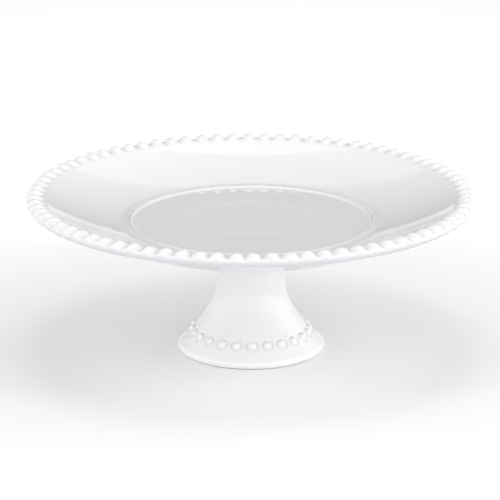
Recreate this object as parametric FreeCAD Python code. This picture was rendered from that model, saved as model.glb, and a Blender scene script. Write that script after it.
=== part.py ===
"""Pedestal cake stand in white glazed stoneware: a dished plate with a beaded rim on a hollow flared foot.

Millimetres. +Z is up. The origin is the centre of the circle that the foot stands on.
Every outline is a loop of edges in the X-Z half plane, turned about the Z axis, except where a function says so.
"""
import FreeCAD, Part
import math
import os

# Overall size
STAND_HEIGHT = 125.5        # tabletop to the tops of the rim beads
PLATE_RADIUS = 169.6        # largest radius, at the edge of the plate; the beads' noses end flush with it

# Plate edge and lip
LIP_TOP_RADIUS = 160.0      # where the lip between two beads is highest
LIP_TOP_DROP = 3.4          # that lip, below the tops of the beads
LIP_OUTER_ROUND = 12.0      # rounding from the lip top to the outer shoulder
LIP_INNER_ROUND = 13.5      # rounding from the lip top to the wall
SHOULDER_SLOPE = 5.0        # degrees that the outer shoulder falls outwards
EDGE_ROUND = 2.0            # rounding of the outermost edge
EDGE_UNDER_SLOPE = 45.0     # degrees that the face under the edge rises outwards
CREASE_RADIUS = 166.2       # where that face meets the plate's long sloping underside

# Plate wall, raised ring and well
WALL_TOP_SLOPE = 26.15      # degrees below level, where the wall starts
WALL_FOOT_SLOPE = 12.5      # degrees below level, where the wall ends
WALL_FOOT_RADIUS = 101.0    # where the wall turns into the cove round the ring
COVE_RADIUS = 96.3          # lowest line of the cove
COVE_DROP = 0.45            # cove below the foot of the wall
RING_RADIUS = 91.6          # crest of the raised ring round the well
RING_RISE = 0.4             # crest of the ring above the foot of the wall
RING_INNER_SLOPE = 38.0     # degrees below level of the ring's inner side at its crest
WELL_RADIUS = 87.0          # edge of the flat well

# Plate underside
PEDESTAL_HEIGHT = 94.6      # tabletop to the flat base of the plate
BASE_EDGE_RADIUS = 111.0    # edge of the flat base
BASE_EDGE_RISE = 0.3        # small bevel of that edge

# Rim beads: nearly round, leaning in and down along the wall
RIM_BEADS = 80
RIM_BEAD_RADIUS = 162.6     # distance of each bead's widest section from the axis
RIM_BEAD_HALF_WIDTH = 5.1
RIM_BEAD_NOSE = 7.2         # length outside the widest section
RIM_BEAD_TAIL = 6.5         # length inside the widest section
RIM_BEAD_LEAN = 22.0        # degrees that the inner end points down
RIM_BEAD_START = 90.7       # degrees from +X to the first bead

# Pedestal: hollow trumpet with a rounded foot
NECK_RADIUS = 22.6          # outer radius under the plate
FLARE = [(25.4, 60.0), (28.9, 40.0), (35.3, 28.0), (44.9, 15.4)]    # outer face: radius, height
FLARE_LEAN = [5.0, 18.0, 36.0, 38.0]                                # degrees from upright at each
WALL_THICKNESS = 5.6
FOOT_ROUND = 3.4            # rounding of the foot's outer edge
FOOT_ROUND_CENTRE = 53.0    # radius of the rounding's centre
FOOT_ROUND_END = 44.0       # degrees above level where the rounding meets the flare
DRY_RING_RADIUS = 47.0      # inner edge of the unglazed ring that the stand rests on
FOOT_INNER_HEIGHT = 4.0     # height of the upright inner face of the foot

# Foot beads: small balls, each in the bottom of a shallow round dimple
FOOT_BEADS = 24
FOOT_BEAD_RADIUS = 3.5
FOOT_BEAD_SET_IN = 1.5      # ball centres, below the flared face
FOOT_BEAD_START = -89.0     # degrees from +X to the first bead
DIMPLE_RADIUS = 5.0
DIMPLE_DEPTH = 0.7

# Luting: the fillet of slip that joins the pedestal to the plate
SLIP_REACH = 4.0

ORIGIN = FreeCAD.Vector(0, 0, 0)
UP = FreeCAD.Vector(0, 0, 1)


def at(radius, height):
    """A point of an outline."""
    return FreeCAD.Vector(radius, 0, height)


def polar(centre, radius, angle):
    """The point at an angle, in degrees above level, on a circle about a centre."""
    turn = math.radians(angle)
    return centre + FreeCAD.Vector(radius * math.cos(turn), 0, radius * math.sin(turn))


def line(start, end):
    return Part.LineSegment(start, end).toShape()


def arc(start, middle, end):
    return Part.Arc(start, middle, end).toShape()


def round_edge(centre, radius, start, end):
    """Part of a circle about a centre, from one angle in degrees to another."""
    return arc(polar(centre, radius, start), polar(centre, radius, (start + end) / 2),
               polar(centre, radius, end))


def smooth(points):
    """A smooth curve through a few points."""
    curve = Part.BSplineCurve()
    curve.interpolate(points)
    return curve.toShape()


def turned(edges, centre=ORIGIN, axis=UP):
    """The solid made by turning a closed outline about an axis."""
    wire = Part.Wire(Part.__sortEdges__(edges))
    return Part.Face(wire).revolve(centre, axis, 360)


def ring_of(shape, count, start):
    """Copies of a shape made at azimuth 0, spread evenly round the Z axis."""
    copies = []
    for index in range(count):
        copy = shape.copy()
        copy.rotate(ORIGIN, UP, start + index * 360 / count)
        copies.append(copy)
    return copies


def dished_arc(start, end_radius, start_slope, end_slope):
    """Middle and end of a hollow arc that runs inwards and down, with its slopes in degrees below level."""
    slopes = math.sin(math.radians(start_slope)) - math.sin(math.radians(end_slope))
    size = (start.x - end_radius) / slopes
    centre = polar(start, size, 90 + start_slope)
    return polar(centre, size, (start_slope + end_slope) / 2 - 90), polar(centre, size, end_slope - 90)


def plate_inside(lip_top):
    """Lip, wall, cove, raised ring and well, from the lip top to the axis."""
    wall_top = polar(lip_top - UP * LIP_INNER_ROUND, LIP_INNER_ROUND, 90 + WALL_TOP_SLOPE)
    wall_middle, wall_foot = dished_arc(wall_top, WALL_FOOT_RADIUS, WALL_TOP_SLOPE, WALL_FOOT_SLOPE)
    crest = at(RING_RADIUS, wall_foot.z + RING_RISE)
    ring_middle, well_edge = dished_arc(crest, WELL_RADIUS, RING_INNER_SLOPE, 0)
    well_centre = at(0, well_edge.z)
    edges = [
        round_edge(lip_top - UP * LIP_INNER_ROUND, LIP_INNER_ROUND, 90, 90 + WALL_TOP_SLOPE),
        arc(wall_top, wall_middle, wall_foot),
        arc(wall_foot, at(COVE_RADIUS, wall_foot.z - COVE_DROP), crest),
        arc(crest, ring_middle, well_edge),
        line(well_edge, well_centre),
    ]
    return edges, well_centre


def plate_outside(lip_top):
    """Shoulder, edge, sloping underside and flat base, from the lip top to the axis."""
    shoulder = polar(lip_top - UP * LIP_OUTER_ROUND, LIP_OUTER_ROUND, 90 - SHOULDER_SLOPE)
    fall = math.radians(SHOULDER_SLOPE)
    edge_radius = PLATE_RADIUS - EDGE_ROUND
    edge_drop = (EDGE_ROUND + math.sin(fall) * (edge_radius - shoulder.x)) / math.cos(fall)
    edge_centre = at(edge_radius, shoulder.z - edge_drop)
    under = polar(edge_centre, EDGE_ROUND, EDGE_UNDER_SLOPE - 90)
    climb = math.tan(math.radians(EDGE_UNDER_SLOPE))
    crease = at(CREASE_RADIUS, under.z - climb * (under.x - CREASE_RADIUS))
    base_edge = at(BASE_EDGE_RADIUS, PEDESTAL_HEIGHT + BASE_EDGE_RISE)
    base_rim = at(BASE_EDGE_RADIUS - BASE_EDGE_RISE, PEDESTAL_HEIGHT)
    base_centre = at(0, PEDESTAL_HEIGHT)
    edges = [
        round_edge(lip_top - UP * LIP_OUTER_ROUND, LIP_OUTER_ROUND, 90, 90 - SHOULDER_SLOPE),
        line(shoulder, polar(edge_centre, EDGE_ROUND, 90 - SHOULDER_SLOPE)),
        round_edge(edge_centre, EDGE_ROUND, 90 - SHOULDER_SLOPE, EDGE_UNDER_SLOPE - 90),
        line(under, crease),
        line(crease, base_edge),
        line(base_edge, base_rim),
        line(base_rim, base_centre),
    ]
    return edges, base_centre


def plate():
    """The dished plate, without its beads."""
    lip_top = at(LIP_TOP_RADIUS, STAND_HEIGHT - LIP_TOP_DROP)
    inside, well_centre = plate_inside(lip_top)
    outside, base_centre = plate_outside(lip_top)
    return turned(inside + outside + [line(well_centre, base_centre)])


def rim_bead(plate_solid):
    """One rounded bead, trimmed to sit on the lip and the wall."""
    lean = math.radians(RIM_BEAD_LEAN)
    along = FreeCAD.Vector(math.cos(lean), 0, math.sin(lean))
    across = FreeCAD.Vector(-math.sin(lean), 0, math.cos(lean))
    highest = math.hypot(RIM_BEAD_NOSE * math.sin(lean), RIM_BEAD_HALF_WIDTH * math.cos(lean))
    centre = at(RIM_BEAD_RADIUS, STAND_HEIGHT - highest)

    def spot(length, angle):
        turn = math.radians(angle)
        return centre + along * (length * math.cos(turn)) + across * (RIM_BEAD_HALF_WIDTH * math.sin(turn))
    nose = smooth([spot(RIM_BEAD_NOSE, angle) for angle in (0, 20, 40, 60, 80, 90)])
    tail = smooth([spot(-RIM_BEAD_TAIL, angle) for angle in (90, 80, 60, 40, 20, 0)])
    spine = line(spot(-RIM_BEAD_TAIL, 0), spot(RIM_BEAD_NOSE, 0))
    drop = turned([nose, tail, spine], centre, along)
    return max(drop.cut(plate_solid).Solids, key=lambda solid: solid.CenterOfMass.z)


def flare_inside():
    """The flared face's points, moved in by the wall's thickness."""
    inner = []
    for (radius, height), lean in zip(FLARE, FLARE_LEAN):
        inner.append(at(radius - WALL_THICKNESS / math.cos(math.radians(lean)), height))
    return inner


def pedestal():
    """Hollow trumpet with a rounded foot, before the dimples."""
    outer_top = at(NECK_RADIUS, PEDESTAL_HEIGHT)
    inner_top = at(NECK_RADIUS - WALL_THICKNESS, PEDESTAL_HEIGHT)
    round_centre = at(FOOT_ROUND_CENTRE, FOOT_ROUND)
    flare_end = polar(round_centre, FOOT_ROUND, FOOT_ROUND_END)
    foot_inside = at(DRY_RING_RADIUS, FOOT_INNER_HEIGHT)
    outer_flare = [outer_top] + [at(radius, height) for radius, height in FLARE] + [flare_end]
    edges = [
        smooth(outer_flare),
        round_edge(round_centre, FOOT_ROUND, FOOT_ROUND_END, -90),
        line(at(FOOT_ROUND_CENTRE, 0), at(DRY_RING_RADIUS, 0)),
        line(at(DRY_RING_RADIUS, 0), foot_inside),
        smooth([inner_top] + flare_inside() + [foot_inside]),
        line(inner_top, outer_top),
    ]
    return turned(edges)


def foot_bead_place():
    """Where the beads meet the flared face, and how far above level that face's normal points."""
    radius, height = FLARE[-1]
    return at(radius, height), FLARE_LEAN[-1]


def dimple_cutter():
    """Ball that hollows one shallow dimple in the flared face."""
    place, normal = foot_bead_place()
    size = (DIMPLE_RADIUS ** 2 + DIMPLE_DEPTH ** 2) / (2 * DIMPLE_DEPTH)
    return Part.makeSphere(size, polar(place, size - DIMPLE_DEPTH, normal))


def foot_bead(flared_solid):
    """One ball, trimmed to sit in its dimple."""
    place, normal = foot_bead_place()
    ball = Part.makeSphere(FOOT_BEAD_RADIUS, polar(place, -FOOT_BEAD_SET_IN, normal))
    seat = flared_solid.cut(dimple_cutter())
    return max(ball.cut(seat).Solids, key=lambda solid: solid.CenterOfMass.x)


def luting_slip(pedestal_solid):
    """Hollow-faced fillet in the corner between the neck and the plate's base."""
    round_centre = at(NECK_RADIUS + SLIP_REACH, PEDESTAL_HEIGHT - SLIP_REACH)
    low = polar(round_centre, SLIP_REACH, 180)
    wide = polar(round_centre, SLIP_REACH, 90)
    buried_low = at(NECK_RADIUS - WALL_THICKNESS / 2, low.z)
    buried_top = at(NECK_RADIUS - WALL_THICKNESS / 2, wide.z)
    fillet = turned([
        round_edge(round_centre, SLIP_REACH, 180, 90),
        line(wide, buried_top),
        line(buried_top, buried_low),
        line(buried_low, low),
    ])
    return fillet.cut(pedestal_solid)


def save(name, shape):
    shape.exportStep("parts/" + name + ".step")
    print(name, len(shape.Solids), "solids", round(shape.Volume), "mm3", "valid" if shape.isValid() else "BAD")


def main():
    os.makedirs("parts", exist_ok=True)
    plate_solid = plate()
    bead = rim_bead(plate_solid)
    pedestal_solid = pedestal()
    ball = foot_bead(pedestal_solid)
    for cutter in ring_of(dimple_cutter(), FOOT_BEADS, FOOT_BEAD_START):
        pedestal_solid = pedestal_solid.cut(cutter)
    save("plate", plate_solid)
    save("rim_beads", Part.makeCompound(ring_of(bead, RIM_BEADS, RIM_BEAD_START)))
    save("pedestal", pedestal_solid)
    save("foot_beads", Part.makeCompound(ring_of(ball, FOOT_BEADS, FOOT_BEAD_START)))
    save("luting_slip", luting_slip(pedestal_solid))


main()
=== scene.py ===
import math
import random

import bpy
import numpy as np
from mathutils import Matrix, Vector


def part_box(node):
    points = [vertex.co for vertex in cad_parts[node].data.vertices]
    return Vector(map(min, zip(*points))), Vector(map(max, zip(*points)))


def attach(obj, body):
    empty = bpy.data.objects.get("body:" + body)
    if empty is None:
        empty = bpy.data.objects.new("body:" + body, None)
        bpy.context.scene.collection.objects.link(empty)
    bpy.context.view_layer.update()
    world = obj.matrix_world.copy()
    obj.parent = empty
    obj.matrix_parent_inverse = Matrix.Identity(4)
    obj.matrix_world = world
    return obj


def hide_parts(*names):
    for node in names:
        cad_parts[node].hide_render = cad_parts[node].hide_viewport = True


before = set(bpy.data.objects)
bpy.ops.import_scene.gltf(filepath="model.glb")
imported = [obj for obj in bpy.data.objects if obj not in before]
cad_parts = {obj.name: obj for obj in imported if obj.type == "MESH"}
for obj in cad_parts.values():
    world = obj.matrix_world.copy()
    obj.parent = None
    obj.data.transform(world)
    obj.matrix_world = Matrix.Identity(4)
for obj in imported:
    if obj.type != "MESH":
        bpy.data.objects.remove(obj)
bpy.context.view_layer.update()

# Sizes taken from the frame
STAND_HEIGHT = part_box("rim_beads")[1].z         # tops of the rim beads
RIM_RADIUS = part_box("plate")[1].x               # edge of the plate
PEDESTAL_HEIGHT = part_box("plate")[0].z          # flat base of the plate

# Plate
LIP_TOP_RADIUS = 0.1600
LIP_TOP_DROP = 0.0034
LIP_OUTER_ROUND = 0.0120
LIP_INNER_ROUND = 0.0135
SHOULDER_SLOPE = 5.0
EDGE_ROUND = 0.0020
EDGE_UNDER_SLOPE = 45.0
CREASE_RADIUS = 0.1662
CREASE_ROUND = 0.0009
WALL_TOP_SLOPE = 26.15
WALL_FOOT_SLOPE = 12.5
WALL_FOOT_RADIUS = 0.1010
COVE_RADIUS = 0.0963
COVE_DROP = 0.00045
RING_RADIUS = 0.0916
RING_RISE = 0.0004
RING_INNER_SLOPE = 38.0
WELL_RADIUS = 0.0870
CREST_SOFTNESS = 0.00028        # how far the glaze rounds off the ring's crest
SAG_RADIUS = 0.0500             # faint step in the well
SAG_WIDTH = 0.0022
SAG_DEPTH = 0.00020
BASE_EDGE_RADIUS = 0.1110
BASE_EDGE_RISE = 0.0003
BASE_EDGE_ROUND = 0.0009

# Rim beads
RIM_BEADS = 80
RIM_BEAD_RADIUS = 0.1626
RIM_BEAD_HALF_WIDTH = 0.0051
RIM_BEAD_NOSE = 0.0069
RIM_BEAD_TAIL = 0.0065
RIM_BEAD_LEAN = 22.0
RIM_BEAD_START = 90.7
RIM_BEAD_BLEND = 0.0022         # glaze that fills the corner round each bead
RIM_BEAD_COLUMNS = 18           # mesh columns to a bead
RIM_INNER_END = 0.1500          # where the row of beads runs out on the wall
RIM_SKIN = 0.00004              # glaze of the row above the plate's own surface
RIM_ROOT = 0.0020               # how deep the row is set into the plate
RIM_OUTER_DROP = 0.0100         # where the row runs out on the outside, below the tops of the beads
RIM_INNER_FADE = 0.0040
RIM_OUTER_FADE = 0.0020
RIM_SKIN_LIMIT = 0.0080         # no bead stands further off the plate than this
RIM_SKIN_HALVINGS = 22

# Pedestal
FLARE = [(0.0254, 0.0600), (0.0289, 0.0400), (0.0353, 0.0280), (0.0449, 0.0154)]
FLARE_LEAN = [5.0, 18.0, 36.0, 38.0]
NECK_RADIUS = 0.0226
WALL_THICKNESS = 0.0056
FOOT_ROUND = 0.0034
FOOT_ROUND_CENTRE = 0.0530
FOOT_ROUND_END = 44.0
DRY_RING_RADIUS = 0.0470
FOOT_INNER_HEIGHT = 0.0040
DRY_RING_ROUND = 0.0008

# Foot beads
FOOT_BEADS = 24
FOOT_BEAD_RADIUS = 0.0035
FOOT_BEAD_SET_IN = 0.0015
FOOT_BEAD_START = -89.0
MOAT_RADIUS = 0.0039            # deepest line of the dimple round each bead
MOAT_DEPTH = 0.00055
MOAT_WIDTH = 0.00080
HALO_RADIUS = 0.0057            # soft swelling outside the dimple
HALO_HEIGHT = 0.00022
HALO_WIDTH = 0.0010
RELIEF_REACH = 0.0025           # the dimples move only points this near to the flared face
FOOT_BEAD_SHOW = 0.0012         # depth below the face that the end of each dome is reckoned from
FOOT_BEAD_TUCK = 14             # degrees that each dome runs on past it
FOOT_BEAD_COLUMNS = 36

# Luting slip
SLIP_REACH = 0.0040
SLIP_ROOT = 0.0020              # how deep it goes into the neck
SLIP_COLUMNS = 192

PLATE_COLUMNS = 360
PEDESTAL_COLUMNS = 24 * FOOT_BEADS

# Where glaze runs thin, where pooled glaze and painted shade darken hollows, and where painted shade darkens
# steep faces: curvatures in 1/m, and how far a face's normal points up
RIDGE_CURVATURE = (520, 1000)
HOLLOW_CURVATURE = (120, 700)
STEEP_NORMAL = (-0.55, -0.05)


def polar(centre, radius, angles):
    """Points at angles, in degrees above level, on a circle about a centre."""
    turns = np.radians(angles)
    return np.column_stack((centre[0] + radius * np.cos(turns), centre[1] + radius * np.sin(turns)))


def arc(centre, radius, start, end, count):
    return polar(centre, radius, np.linspace(start, end, count))


def straight(start, end, count):
    share = np.linspace(0, 1, count)[:, None]
    return np.array(start) * (1 - share) + np.array(end) * share


def spline(points, count):
    """Evenly spaced points of the natural cubic spline through a few points."""
    points = np.array(points)
    steps = np.hypot(*np.diff(points, axis=0).T)
    knots = np.concatenate(([0], np.cumsum(steps)))
    system = np.eye(len(points))
    right = np.zeros_like(points)
    for i in range(1, len(points) - 1):
        system[i, i - 1:i + 2] = steps[i - 1], 2 * (steps[i - 1] + steps[i]), steps[i]
        right[i] = 6 * ((points[i + 1] - points[i]) / steps[i] - (points[i] - points[i - 1]) / steps[i - 1])
    bends = np.linalg.solve(system, right)
    spot = np.linspace(0, knots[-1], count)
    span = np.clip(np.searchsorted(knots, spot, side="right") - 1, 0, len(steps) - 1)
    before = (spot - knots[span])[:, None]
    size = steps[span][:, None]
    after = size - before
    return (bends[span] * after ** 3 + bends[span + 1] * before ** 3) / (6 * size) \
        + (points[span] / size - bends[span] * size / 6) * after \
        + (points[span + 1] / size - bends[span + 1] * size / 6) * before


def joined(*stretches):
    """One outline from stretches that share their end points."""
    points = np.concatenate(stretches)
    apart = np.hypot(*np.diff(points, axis=0).T) > 1e-7
    return points[np.concatenate(([True], apart))]


def ramp(value, low, high):
    """0 below low, 1 above high, smooth between."""
    share = np.clip((value - low) / (high - low), 0, 1)
    return share * share * (3 - 2 * share)


def bump(value, centre, width):
    return np.exp(-((value - centre) / width) ** 2)


def outline_normals(points):
    """Unit normals, on the left of the direction in which an outline runs."""
    along = np.gradient(points, axis=0)
    along /= np.hypot(along[:, 0], along[:, 1])[:, None]
    return np.column_stack((-along[:, 1], along[:, 0]))


def revolved(outline, columns, start=0.0):
    """Grid of points, one row to a point of the outline and one column to a step round the axis."""
    turns = math.radians(start) + np.arange(columns) * 2 * math.pi / columns
    radius, height = outline[:, 0][:, None], outline[:, 1][:, None]
    return np.stack((radius * np.cos(turns), radius * np.sin(turns), height + 0 * turns), axis=-1)


def grid_faces(rows, columns, closed):
    """Quads of a grid that is closed round the axis and, if asked, along the outline too."""
    faces = []
    for row in range(rows if closed else rows - 1):
        low = row * columns
        high = (row + 1) % rows * columns
        for column in range(columns):
            after = (column + 1) % columns
            faces.append((low + column, low + after, high + after, high + column))
    return faces


def mesh_piece(name, points, faces, node, material):
    """A smooth piece on the frame's only body that stands for one CAD node."""
    mesh = bpy.data.meshes.new(name)
    mesh.from_pydata([tuple(point) for point in points], [], faces)
    mesh.polygons.foreach_set("use_smooth", [True] * len(mesh.polygons))
    mesh.set_sharp_from_angle(angle=math.radians(50))
    mesh.validate()
    glaze_and_shade_masks(mesh)
    mesh.materials.append(material)
    piece = bpy.data.objects.new(name, mesh)
    bpy.context.scene.collection.objects.link(piece)
    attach(piece, "root")
    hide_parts(node)
    return piece


def glaze_and_shade_masks(mesh):
    """Values at each vertex: glaze run off a ridge, pooled glaze and painted shade in a hollow, and painted
    shade on a steep face.
    """
    count = len(mesh.vertices)
    places = np.zeros(count * 3)
    mesh.vertices.foreach_get("co", places)
    places = places.reshape(-1, 3)
    normals = np.zeros(count * 3)
    mesh.vertex_normals.foreach_get("vector", normals)
    normals = normals.reshape(-1, 3)
    edges = np.zeros(len(mesh.edges) * 2, dtype=int)
    mesh.edges.foreach_get("vertices", edges)
    first, second = edges.reshape(-1, 2).T
    across = places[second] - places[first]
    bend = np.einsum("ij,ij->i", normals[second] - normals[first], across)
    weight = np.einsum("ij,ij->i", across, across)
    curvature = bend / np.maximum(weight, 1e-12)
    sharpest = np.zeros(count)
    deepest = np.zeros(count)
    for ends in (first, second):
        np.maximum.at(sharpest, ends, curvature)
        np.maximum.at(deepest, ends, -curvature)
    values = {
        "ridge": ramp(sharpest, *RIDGE_CURVATURE),
        # the hollow mask places pooled glaze and painted shade in creases
        "hollow": ramp(deepest, *HOLLOW_CURVATURE),
        # the steep mask places painted shade on steep and downward faces
        "steep": ramp(-normals[:, 2], *STEEP_NORMAL),
    }
    for name, value in values.items():
        layer = mesh.attributes.new(name, "FLOAT", "POINT")
        layer.data.foreach_set("value", value.astype(np.float32))


# Plate

def dished(start, end_radius, start_slope, end_slope, count):
    """Hollow arc that runs inwards and down, with its slopes in degrees below level."""
    slopes = math.sin(math.radians(start_slope)) - math.sin(math.radians(end_slope))
    size = (start[0] - end_radius) / slopes
    centre = polar(start, size, [90 + start_slope])[0]
    return arc(centre, size, start_slope - 90, end_slope - 90, count)


def through(first, middle, last, count):
    """Arc through three points."""
    rows = 2 * np.array([np.subtract(middle, first), np.subtract(last, first)])
    right = [np.dot(middle, middle) - np.dot(first, first), np.dot(last, last) - np.dot(first, first)]
    centre = np.linalg.solve(rows, right)
    start, end = [math.degrees(math.atan2(*(np.subtract(point, centre)[::-1]))) for point in (first, last)]
    return arc(centre, math.dist(first, centre), start, end, count)


def plate_inside(lip_top):
    """Lip, wall, cove, raised ring and well, from the lip top to the axis."""
    lip = arc((lip_top[0], lip_top[1] - LIP_INNER_ROUND), LIP_INNER_ROUND, 90, 90 + WALL_TOP_SLOPE, 14)
    wall = dished(lip[-1], WALL_FOOT_RADIUS, WALL_TOP_SLOPE, WALL_FOOT_SLOPE, 40)
    crest = (RING_RADIUS, wall[-1][1] + RING_RISE)
    cove = through(wall[-1], (COVE_RADIUS, wall[-1][1] - COVE_DROP), crest, 30)
    rib = dished(crest, WELL_RADIUS, RING_INNER_SLOPE, 0, 24)
    well = straight(rib[-1], (0, rib[-1][1]), 44)
    return softened(joined(lip, wall, cove, rib, well))


def softened(outline):
    """The outline with the ring's crest rounded by glaze and the well's faint step added."""
    radius = outline[:, 0]
    step, side = 0.00005, 30
    fine = np.arange(0, LIP_TOP_RADIUS, step)
    height = np.interp(fine, radius[::-1], outline[::-1, 1])
    reach = np.arange(-side, side + 1) * step
    kernel = np.exp(-(reach / CREST_SOFTNESS) ** 2 / 2)
    smooth = np.convolve(np.pad(height, side, mode="edge"), kernel / kernel.sum(), mode="valid")
    share = bump(radius, RING_RADIUS, 0.004)
    mixed = outline[:, 1] * (1 - share) + np.interp(radius, fine, smooth) * share
    sag = SAG_DEPTH * (ramp(radius, SAG_RADIUS - SAG_WIDTH, SAG_RADIUS + SAG_WIDTH) - 1)
    return np.column_stack((radius, mixed + sag))


def plate_outside(lip_top):
    """Shoulder, rounded edge, sloping underside and flat base, from the lip top to the axis."""
    shoulder = arc((lip_top[0], lip_top[1] - LIP_OUTER_ROUND), LIP_OUTER_ROUND, 90, 90 - SHOULDER_SLOPE, 8)
    fall = math.radians(SHOULDER_SLOPE)
    edge_radius = RIM_RADIUS - EDGE_ROUND
    run = edge_radius - shoulder[-1][0]
    edge = (edge_radius, shoulder[-1][1] - (EDGE_ROUND + math.sin(fall) * run) / math.cos(fall))
    corner = arc(edge, EDGE_ROUND, 90 - SHOULDER_SLOPE, EDGE_UNDER_SLOPE - 90, 24)
    under = corner[-1]
    crease = (CREASE_RADIUS, under[1] - math.tan(math.radians(EDGE_UNDER_SLOPE)) * (under[0] - CREASE_RADIUS))
    soft = BASE_EDGE_ROUND
    reach = np.subtract(crease, (BASE_EDGE_RADIUS, PEDESTAL_HEIGHT + BASE_EDGE_RISE))
    climb = math.degrees(math.atan2(reach[1], reach[0]))
    turn = (BASE_EDGE_RADIUS - soft * math.tan(math.radians(climb / 2)), PEDESTAL_HEIGHT + soft)
    base_corner = arc(turn, soft, climb - 90, -90, 8)
    cone = rounded(under, crease, base_corner[0], CREASE_ROUND)
    base = straight(base_corner[-1], (0, PEDESTAL_HEIGHT), 24)
    return joined(shoulder, straight(shoulder[-1], corner[0], 8), corner, cone, base_corner, base)


def rounded(start, corner, end, size):
    """Two straight stretches whose corner is rounded off over a length on each side."""
    before = np.subtract(start, corner)
    after = np.subtract(end, corner)
    before = np.add(corner, before * size / np.hypot(*before))
    after = np.add(corner, after * size / np.hypot(*after))
    share = np.linspace(0, 1, 8)[:, None]
    bend = before * (1 - share) ** 2 + 2 * np.array(corner) * share * (1 - share) + after * share ** 2
    return joined(straight(start, before, 4), bend, straight(after, end, 40))


def plate_outline():
    """The whole outline, from the axis over the top to the axis below."""
    lip_top = (LIP_TOP_RADIUS, STAND_HEIGHT - LIP_TOP_DROP)
    return joined(plate_inside(lip_top)[::-1], plate_outside(lip_top))


def make_plate(material):
    outline = plate_outline()
    body = outline[1:-1]
    sunk = RIM_SKIN * rim_share(body)
    body = body - outline_normals(body) * sunk[:, None]
    points = revolved(body, PLATE_COLUMNS).reshape(-1, 3)
    faces = grid_faces(len(body), PLATE_COLUMNS, False)
    top, bottom = len(points), len(points) + 1
    last_row = (len(body) - 1) * PLATE_COLUMNS
    for column in range(PLATE_COLUMNS):
        after = (column + 1) % PLATE_COLUMNS
        faces.append((top, after, column))
        faces.append((bottom, last_row + column, last_row + after))
    poles = [(0, 0, outline[0][1]), (0, 0, outline[-1][1])]
    faces = [face[::-1] for face in faces]
    return mesh_piece("plate_body", np.concatenate((points, poles)), faces, "plate", material)


# Rim beads

def rim_share(outline):
    """1 under the row of beads and 0 away from it, smooth between."""
    outer_end = STAND_HEIGHT - RIM_OUTER_DROP
    inner = ramp(outline[:, 0], RIM_INNER_END, RIM_INNER_END + RIM_INNER_FADE)
    return inner * ramp(outline[:, 1], outer_end, outer_end + RIM_OUTER_FADE)


def soft_union(first, second, blend):
    """Signed distance to two shapes with their corner filled."""
    near = np.maximum(1 - np.abs(first - second) / blend, 0)
    return np.minimum(first, second) - near * near * blend / 4


def bead_distance(points, bead):
    """Approximate signed distance to one drop. Points are radius, height and length round the rim."""
    lean = math.radians(RIM_BEAD_LEAN)
    highest = math.hypot(RIM_BEAD_NOSE * math.sin(lean), RIM_BEAD_HALF_WIDTH * math.cos(lean))
    out = points[..., 0] - RIM_BEAD_RADIUS
    up = points[..., 1] - (STAND_HEIGHT - highest - bead["drop"])
    along = out * math.cos(lean) + up * math.sin(lean)
    across = up * math.cos(lean) - out * math.sin(lean)
    length = np.where(along > 0, RIM_BEAD_NOSE, RIM_BEAD_TAIL * bead["tail"])
    aside = points[..., 2] - bead["skew"] * along
    half = RIM_BEAD_HALF_WIDTH
    parts = np.stack((along / length, across / half, aside / (half * bead["width"])))
    scaled = np.stack((parts[0] / length, parts[1] / half, parts[2] / half))
    size = np.sqrt((parts ** 2).sum(axis=0))
    slope = np.sqrt((scaled ** 2).sum(axis=0))
    return size * (size - 1) / np.maximum(slope, 1e-9)


def hand_made_beads():
    """Small differences from bead to bead."""
    draw = random.Random(7)
    beads = []
    for _ in range(RIM_BEADS):
        beads.append({
            "turn": draw.uniform(-0.16, 0.16),
            "drop": draw.uniform(0, 0.00030),
            "tail": draw.uniform(0.90, 1.02),
            "width": draw.uniform(0.95, 1.03),
            "skew": draw.uniform(-0.05, 0.05),
        })
    return beads


def bead_row_heights(outline, normals, beads, bead, turns):
    """How far the row stands off the plate at each outline point and each turn from one bead's middle."""
    step = 360 / RIM_BEADS
    low = np.zeros((len(outline), len(turns)))
    high = np.full_like(low, RIM_SKIN_LIMIT)
    for _ in range(RIM_SKIN_HALVINGS):
        middle = (low + high) / 2
        radius = outline[:, 0][:, None] + normals[:, 0][:, None] * middle
        height = outline[:, 1][:, None] + normals[:, 1][:, None] * middle
        field = middle
        for other in (-1, 0, 1):
            mate = beads[(bead + other) % RIM_BEADS]
            away = np.radians(turns[None, :] - other * step - mate["turn"]) * radius
            distance = bead_distance(np.stack((radius, height, away), axis=-1), mate)
            field = soft_union(field, distance, RIM_BEAD_BLEND)
        low = np.where(field < 0, middle, low)
        high = np.where(field < 0, high, middle)
    return (low + high) / 2


def make_rim_beads(material):
    outline = plate_outline()
    share = rim_share(outline)
    covered = np.flatnonzero(share > 0)
    outline = outline[covered[0] - 1:covered[-1] + 2]
    lengths = np.concatenate(([0], np.cumsum(np.hypot(*np.diff(outline, axis=0).T))))
    spots = np.linspace(0, lengths[-1], 56)
    outline = np.column_stack([np.interp(spots, lengths, outline[:, axis]) for axis in (0, 1)])
    normals = outline_normals(outline)
    lift = RIM_SKIN * (2 * rim_share(outline) - 1)
    beads = hand_made_beads()
    step = 360 / RIM_BEADS
    turns = (np.arange(RIM_BEAD_COLUMNS) / RIM_BEAD_COLUMNS - 0.5) * step
    columns = []
    for bead in range(RIM_BEADS):
        heights = bead_row_heights(outline, normals, beads, bead, turns) + lift[:, None]
        for index, turn in enumerate(turns):
            skin = outline + normals * heights[:, index][:, None]
            angle = math.radians(RIM_BEAD_START + bead * step + turn)
            root = outline[::-6] - normals[::-6] * RIM_ROOT
            loop = np.concatenate((skin, root))
            radius, height = loop.T
            columns.append(np.column_stack((radius * math.cos(angle), radius * math.sin(angle), height)))
    grid = np.stack(columns, axis=1)
    faces = grid_faces(grid.shape[0], grid.shape[1], True)
    faces = [face[::-1] for face in faces]
    return mesh_piece("rim_bead_row", grid.reshape(-1, 3), faces, "rim_beads", material)


# Pedestal

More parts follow.
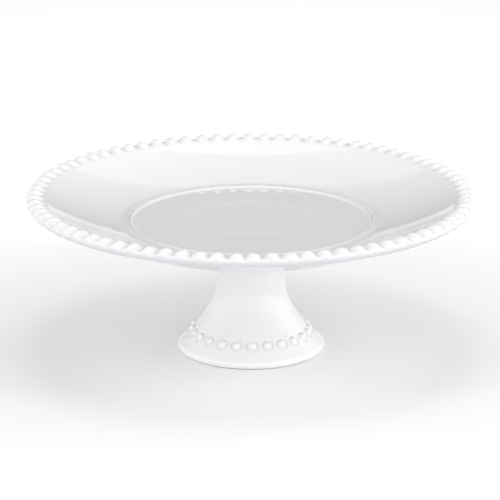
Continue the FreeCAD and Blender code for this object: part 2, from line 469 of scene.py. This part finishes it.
def pedestal_outline():
    """Closed loop: outside from the top down, round the foot, over the dry ring and up the inside."""
    round_centre = (FOOT_ROUND_CENTRE, FOOT_ROUND)
    flare_end = polar(round_centre, FOOT_ROUND, [FOOT_ROUND_END])[0]
    outer = spline([(NECK_RADIUS, PEDESTAL_HEIGHT), *FLARE, tuple(flare_end)], 104)
    foot = arc(round_centre, FOOT_ROUND, FOOT_ROUND_END, -90, 18)
    corner = (DRY_RING_RADIUS + DRY_RING_ROUND, DRY_RING_ROUND)
    dry = straight(foot[-1], (corner[0], 0), 8)
    dry_edge = arc(corner, DRY_RING_ROUND, -90, -180, 7)
    lip = straight(dry_edge[-1], (DRY_RING_RADIUS, FOOT_INNER_HEIGHT), 5)
    inner_flare = [(radius - WALL_THICKNESS / math.cos(math.radians(lean)), height)
                   for (radius, height), lean in zip(FLARE, FLARE_LEAN)]
    inner = spline([(NECK_RADIUS - WALL_THICKNESS, PEDESTAL_HEIGHT), *inner_flare, tuple(lip[-1])], 32)[::-1]
    top = straight(inner[-1], outer[0], 4)
    loop = joined(outer, foot, dry, dry_edge, lip, inner, top)
    return loop[:-1]


def foot_bead_frames():
    """Each bead's seat on the flared face, and the outward, sideways and upward directions there."""
    radius, height = FLARE[-1]
    lean = math.radians(FLARE_LEAN[-1])
    frames = []
    for index in range(FOOT_BEADS):
        turn = math.radians(FOOT_BEAD_START + index * 360 / FOOT_BEADS)
        around = np.array((math.cos(turn), math.sin(turn), 0))
        out = around * math.cos(lean) + np.array((0, 0, math.sin(lean)))
        side = np.array((-math.sin(turn), math.cos(turn), 0))
        frames.append((around * radius + np.array((0, 0, height)), out, side, np.cross(out, side)))
    return frames


def make_pedestal(material):
    outline = pedestal_outline()
    points = revolved(outline, PEDESTAL_COLUMNS, FOOT_BEAD_START).reshape(-1, 3)
    for seat, out, side, up in foot_bead_frames():
        offset = points - seat
        away = np.hypot(offset @ side, offset @ up)
        near = (away < 3 * HALO_RADIUS) & (np.abs(offset @ out) < RELIEF_REACH)
        halo = HALO_HEIGHT * bump(away, HALO_RADIUS, HALO_WIDTH)
        relief = halo - MOAT_DEPTH * bump(away, MOAT_RADIUS, MOAT_WIDTH)
        points[near] += relief[near][:, None] * out
    faces = grid_faces(len(outline), PEDESTAL_COLUMNS, True)
    faces = [face[::-1] for face in faces]
    return mesh_piece("pedestal_body", points, faces, "pedestal", material)


def make_foot_beads(material):
    """Domes that run on a little way under the face they sit on."""
    rise = math.degrees(math.asin((FOOT_BEAD_SET_IN - FOOT_BEAD_SHOW) / FOOT_BEAD_RADIUS))
    dome = arc((0, -FOOT_BEAD_SET_IN), FOOT_BEAD_RADIUS, 90, rise - FOOT_BEAD_TUCK, 18)[1:]
    columns = FOOT_BEAD_COLUMNS
    points = []
    faces = []
    for seat, out, side, up in foot_bead_frames():
        base = len(points)
        points.append(seat + out * (FOOT_BEAD_RADIUS - FOOT_BEAD_SET_IN))
        for radius, height in dome:
            for column in range(columns):
                turn = column * 2 * math.pi / columns
                points.append(seat + out * height + radius * (side * math.cos(turn) + up * math.sin(turn)))
        points.append(seat + out * dome[-1][1])
        for column in range(columns):
            after = (column + 1) % columns
            faces.append((base, base + 1 + column, base + 1 + after))
            for row in range(len(dome) - 1):
                low = base + 1 + row * columns
                faces.append((low + column, low + columns + column, low + columns + after, low + after))
            last = base + 1 + (len(dome) - 1) * columns
            faces.append((len(points) - 1, last + after, last + column))
    return mesh_piece("foot_bead_row", np.array(points), faces, "foot_beads", material)


def make_luting_slip(material):
    """Hand-smoothed fillet between the neck and the plate's base."""
    centre = (NECK_RADIUS + SLIP_REACH, PEDESTAL_HEIGHT - SLIP_REACH)
    hollow = arc(centre, SLIP_REACH, 90, 180, 16)
    buried = [(NECK_RADIUS - SLIP_ROOT, hollow[-1][1]), (NECK_RADIUS - SLIP_ROOT, PEDESTAL_HEIGHT)]
    outline = np.concatenate((hollow, buried))
    points = revolved(outline, SLIP_COLUMNS).reshape(-1, 3)
    faces = grid_faces(len(outline), SLIP_COLUMNS, True)
    return mesh_piece("luting_slip_fillet", points, faces, "luting_slip", material)


# Materials

class Nodes:
    """Short calls for building one material's node tree."""

    def __init__(self, name):
        self.material = bpy.data.materials.new(name)
        self.material.use_nodes = True
        self.tree = self.material.node_tree
        self.shader = next(n for n in self.tree.nodes if n.type == "BSDF_PRINCIPLED")

    def add(self, kind, **settings):
        node = self.tree.nodes.new(kind)
        for key, value in settings.items():
            setattr(node, key, value)
        return node

    def link(self, source, target):
        self.tree.links.new(source, target)

    def noise(self, scale, detail):
        place = self.add("ShaderNodeTexCoord")
        node = self.add("ShaderNodeTexNoise")
        node.inputs["Scale"].default_value = scale
        node.inputs["Detail"].default_value = detail
        self.link(place.outputs["Object"], node.inputs["Vector"])
        return node.outputs["Fac"]

    def spread(self, value, low, high, new_low, new_high):
        node = self.add("ShaderNodeMapRange", clamp=True)
        for key, number in zip(("From Min", "From Max", "To Min", "To Max"), (low, high, new_low, new_high)):
            node.inputs[key].default_value = number
        self.link(value, node.inputs["Value"])
        return node.outputs["Result"]

    def mix(self, share, first, second):
        node = self.add("ShaderNodeMix", data_type="RGBA")
        sockets = node.inputs["Factor"], node.inputs[6], node.inputs[7]
        for source, socket in zip((share, first, second), sockets):
            if isinstance(source, (int, float)):
                socket.default_value = source
            elif isinstance(source, tuple):
                socket.default_value = (*source, 1)
            else:
                self.link(source, socket)
        return node.outputs[2]

    def attribute(self, name):
        return self.add("ShaderNodeAttribute", attribute_name=name).outputs["Fac"]

    def product(self, first, second):
        node = self.add("ShaderNodeMath", operation="MULTIPLY")
        for source, socket in ((first, node.inputs[0]), (second, node.inputs[1])):
            if isinstance(source, (int, float)):
                socket.default_value = source
            else:
                self.link(source, socket)
        return node.outputs[0]


WHITE_GLAZE = (0.79, 0.79, 0.79)
# pooled glaze and painted shade: darker, cooler glaze in hollows and creases
POOLED_AND_SHADED_GLAZE = (0.70, 0.705, 0.745)
# painted light: the same white glaze made lighter on the pedestal and foot beads, standing in for light the
# neck lacks
LIGHTENED_PEDESTAL_GLAZE = (0.85, 0.85, 0.855)
# painted shade: darker, cooler glaze on steep and downward-facing faces, where less light falls
STEEP_SHADE_GLAZE = (0.635, 0.635, 0.680)
THIN_GLAZE = (0.62, 0.53, 0.43)
CLAY = (0.60, 0.54, 0.46)
CLAY_ROUGHNESS = 0.85
CLAY_HEIGHT = (0.0001, 0.0003)  # the glaze is wiped off up to here, unevenly
GLAZE_ROUGHNESS = (0.025, 0.050)
GLAZE_IOR = 1.5
RIPPLE_STRENGTH = 0.05
RIPPLE_HEIGHT = 0.0004


def glaze(name, white=WHITE_GLAZE, steep_shade_share=0.8, thin_share=0.6, pool_and_shade_share=0.5):
    """Glossy white glaze: thin and warm on ridges, cool and deep in hollows from pooled glaze and painted
    shade, darker and cooler on steep faces as painted shade, with a faint ripple.
    """
    nodes = Nodes(name)
    cloud = nodes.spread(nodes.noise(14, 3), 0.3, 0.7, 0, 1)
    cool = tuple(part * shade for part, shade in zip(white, (0.993, 0.995, 1.0)))
    warm = tuple(part * shade for part, shade in zip(white, (1.0, 0.997, 0.993)))
    colour = nodes.mix(cloud, cool, warm)
    # painted shade on steep and downward faces
    colour = nodes.mix(nodes.product(nodes.attribute("steep"), steep_shade_share), colour, STEEP_SHADE_GLAZE)
    # pooled glaze and painted shade in hollows
    colour = nodes.mix(nodes.product(nodes.attribute("hollow"), pool_and_shade_share), colour, POOLED_AND_SHADED_GLAZE)
    patchy = nodes.spread(nodes.noise(60, 2), 0.35, 0.65, 0.55, 1)
    worn = nodes.product(nodes.product(nodes.attribute("ridge"), patchy), thin_share)
    colour = nodes.mix(worn, colour, THIN_GLAZE)
    nodes.link(colour, nodes.shader.inputs["Base Color"])
    gloss = nodes.spread(nodes.noise(25, 2), 0.3, 0.7, *GLAZE_ROUGHNESS)
    nodes.link(gloss, nodes.shader.inputs["Roughness"])
    nodes.shader.inputs["IOR"].default_value = GLAZE_IOR
    ripple = nodes.add("ShaderNodeBump")
    ripple.inputs["Strength"].default_value = RIPPLE_STRENGTH
    ripple.inputs["Distance"].default_value = RIPPLE_HEIGHT
    nodes.link(nodes.noise(140, 1), ripple.inputs["Height"])
    nodes.link(ripple.outputs["Normal"], nodes.shader.inputs["Normal"])
    return nodes


def pedestal_glaze():
    """The same glaze made lighter as painted light, and wiped off the ring that the stand rests on."""
    nodes = glaze("pedestal_glaze", LIGHTENED_PEDESTAL_GLAZE, steep_shade_share=0.05, thin_share=0.1, pool_and_shade_share=0.3)
    height = nodes.add("ShaderNodeSeparateXYZ")
    nodes.link(nodes.add("ShaderNodeTexCoord").outputs["Object"], height.inputs[0])
    grain = nodes.spread(nodes.noise(90, 3), 0.3, 0.7, *CLAY_HEIGHT)
    bare = nodes.add("ShaderNodeMath", operation="LESS_THAN")
    nodes.link(height.outputs["Z"], bare.inputs[0])
    nodes.link(grain, bare.inputs[1])
    colour, gloss = nodes.shader.inputs["Base Color"], nodes.shader.inputs["Roughness"]
    clay = nodes.mix(bare.outputs[0], colour.links[0].from_socket, CLAY)
    dull = nodes.add("ShaderNodeMix", data_type="FLOAT")
    nodes.link(bare.outputs[0], dull.inputs[0])
    nodes.link(gloss.links[0].from_socket, dull.inputs[2])
    dull.inputs[3].default_value = CLAY_ROUGHNESS
    nodes.link(clay, colour)
    nodes.link(dull.outputs[0], gloss)
    return nodes.material


def floor_finish():
    """Pale studio floor that glows as painted light, weakest near the stand as a painted shadow round it."""
    nodes = Nodes("studio_floor")
    tone = nodes.spread(nodes.noise(3, 2), 0.3, 0.7, 0, 1)
    colour = nodes.mix(tone, (0.900, 0.900, 0.900), (0.905, 0.905, 0.905))
    nodes.link(colour, nodes.shader.inputs["Base Color"])
    nodes.shader.inputs["Roughness"].default_value = 0.9
    nodes.shader.inputs["Specular IOR Level"].default_value = 0.1
    place = nodes.add("ShaderNodeTexCoord").outputs["Object"]
    reach = nodes.add("ShaderNodeVectorMath", operation="LENGTH")
    nodes.link(place, reach.inputs[0])
    # painted light: glow rising with distance from the stand, a painted shadow near it
    glow = nodes.spread(reach.outputs["Value"], *FLOOR_GLOW_REACH, *FLOOR_GLOW)
    nodes.shader.inputs["Emission Color"].default_value = (1, 1, 1, 1)
    nodes.link(glow, nodes.shader.inputs["Emission Strength"])
    return nodes.material


# Studio

FLOOR_GLOW = (0.03, 0.16)       # painted light: the floor's glow near the stand and away from it, dimmer near the stand as a painted shadow
FLOOR_GLOW_REACH = (0.20, 0.52)
FLOOR_RADIUS = 6.0
FLOOR_HEIGHT = -0.0001
FLOOR_COLUMNS = 96
CAMERA_DISTANCE = 2.2392        # level distance from the stand's axis
CAMERA_HEIGHT = 0.7625
CAMERA_AIM = (-0.0007, 0.0, 0.0773)
LENS_MM = 221.8
SENSOR_MM = 36.0

# Softboxes: azimuth in degrees to the right of the camera, elevation, distance, side, power
LIGHTS = {
    "softbox_right": (62, 38, 1.5, 0.18, 1.3),
    "softbox_left": (-56, 38, 1.5, 0.18, 1.1),
    "softbox_top": (0, 89, 1.5, 0.60, 3.6),
    "softbox_high_back": (180, 70, 1.5, 0.73, 1.8),
    "softbox_back": (180, 50, 1.5, 0.73, 0.9),
}
# Pale walls round the studio: the direction each one lies in, and how bright it is seen straight on
WALLS = {"front": (0, -1, 1.60), "back": (0, 1, 0.12), "right": (1, 0, 2.55), "left": (-1, 0, 1.90)}
# Where the walls meet the floor they are pale: sines of two elevations, and the brightness at each
HORIZON = (0.07, 0.13, 0.90, 0.00)


def make_floor():
    rings = np.array([(0.4 * FLOOR_RADIUS, FLOOR_HEIGHT), (FLOOR_RADIUS, FLOOR_HEIGHT)])
    points = list(revolved(rings, FLOOR_COLUMNS).reshape(-1, 3)) + [np.array((0, 0, FLOOR_HEIGHT))]
    faces = [face[::-1] for face in grid_faces(2, FLOOR_COLUMNS, False)]
    faces += [(len(points) - 1, column, (column + 1) % FLOOR_COLUMNS) for column in range(FLOOR_COLUMNS)]
    mesh = bpy.data.meshes.new("studio_floor")
    mesh.from_pydata([tuple(point) for point in points], [], faces)
    mesh.materials.append(floor_finish())
    floor = bpy.data.objects.new("studio_floor", mesh)
    bpy.context.scene.collection.objects.link(floor)


def make_camera():
    data = bpy.data.cameras.new("camera")
    data.lens = LENS_MM
    data.sensor_width = SENSOR_MM
    camera = bpy.data.objects.new("camera", data)
    camera.location = (0, -CAMERA_DISTANCE, CAMERA_HEIGHT)
    camera.rotation_euler = (Vector(CAMERA_AIM) - camera.location).to_track_quat("-Z", "Y").to_euler()
    bpy.context.scene.collection.objects.link(camera)
    bpy.context.scene.camera = camera


def make_lights():
    target = Vector((0, 0, STAND_HEIGHT / 2))
    for name, (azimuth, elevation, distance, side, power) in LIGHTS.items():
        data = bpy.data.lights.new(name, "AREA")
        data.size = side
        data.energy = power
        lamp = bpy.data.objects.new(name, data)
        turn, rise = math.radians(azimuth), math.radians(elevation)
        away = Vector((math.sin(turn) * math.cos(rise), -math.cos(turn) * math.cos(rise), math.sin(rise)))
        lamp.location = target + away * distance
        lamp.rotation_euler = (-away).to_track_quat("-Z", "Y").to_euler()
        bpy.context.scene.collection.objects.link(lamp)


def make_world():
    """Soft light from four pale walls, each fading out to its sides, and a pale line where the floor ends."""
    world = bpy.data.worlds.new("studio")
    world.use_nodes = True
    tree = world.node_tree
    background = tree.nodes["Background"]
    towards = tree.nodes.new("ShaderNodeTexCoord").outputs["Generated"]
    total = None
    for x, y, strength in WALLS.values():
        facing = tree.nodes.new("ShaderNodeVectorMath")
        facing.operation = "DOT_PRODUCT"
        facing.inputs[1].default_value = (x, y, 0)
        tree.links.new(towards, facing.inputs[0])
        part = facing.outputs["Value"]
        for operation, number in (("MAXIMUM", 0), ("POWER", 2), ("MULTIPLY", strength)):
            step = tree.nodes.new("ShaderNodeMath")
            step.operation = operation
            step.inputs[1].default_value = number
            tree.links.new(part, step.inputs[0])
            part = step.outputs[0]
        if total is not None:
            add = tree.nodes.new("ShaderNodeMath")
            add.operation = "ADD"
            tree.links.new(total, add.inputs[0])
            tree.links.new(part, add.inputs[1])
            part = add.outputs[0]
        total = part
    height = tree.nodes.new("ShaderNodeSeparateXYZ")
    tree.links.new(towards, height.inputs[0])
    low = tree.nodes.new("ShaderNodeMapRange")
    for key, number in zip(("From Min", "From Max", "To Min", "To Max"), HORIZON):
        low.inputs[key].default_value = number
    tree.links.new(height.outputs["Z"], low.inputs["Value"])
    pale = tree.nodes.new("ShaderNodeMath")
    pale.operation = "MAXIMUM"
    tree.links.new(low.outputs["Result"], pale.inputs[0])
    tree.links.new(total, pale.inputs[1])
    tree.links.new(pale.outputs[0], background.inputs["Color"])
    bpy.context.scene.world = world


make_plate(glaze("plate_glaze", thin_share=0.9).material)
make_rim_beads(glaze("rim_bead_glaze", pool_and_shade_share=0.15).material)
make_pedestal(pedestal_glaze())
make_foot_beads(glaze("foot_bead_glaze", LIGHTENED_PEDESTAL_GLAZE, steep_shade_share=0.0).material)
make_luting_slip(glaze("slip_glaze").material)
make_floor()
make_camera()
make_lights()
make_world()
bpy.context.scene.view_settings.view_transform = "Standard"
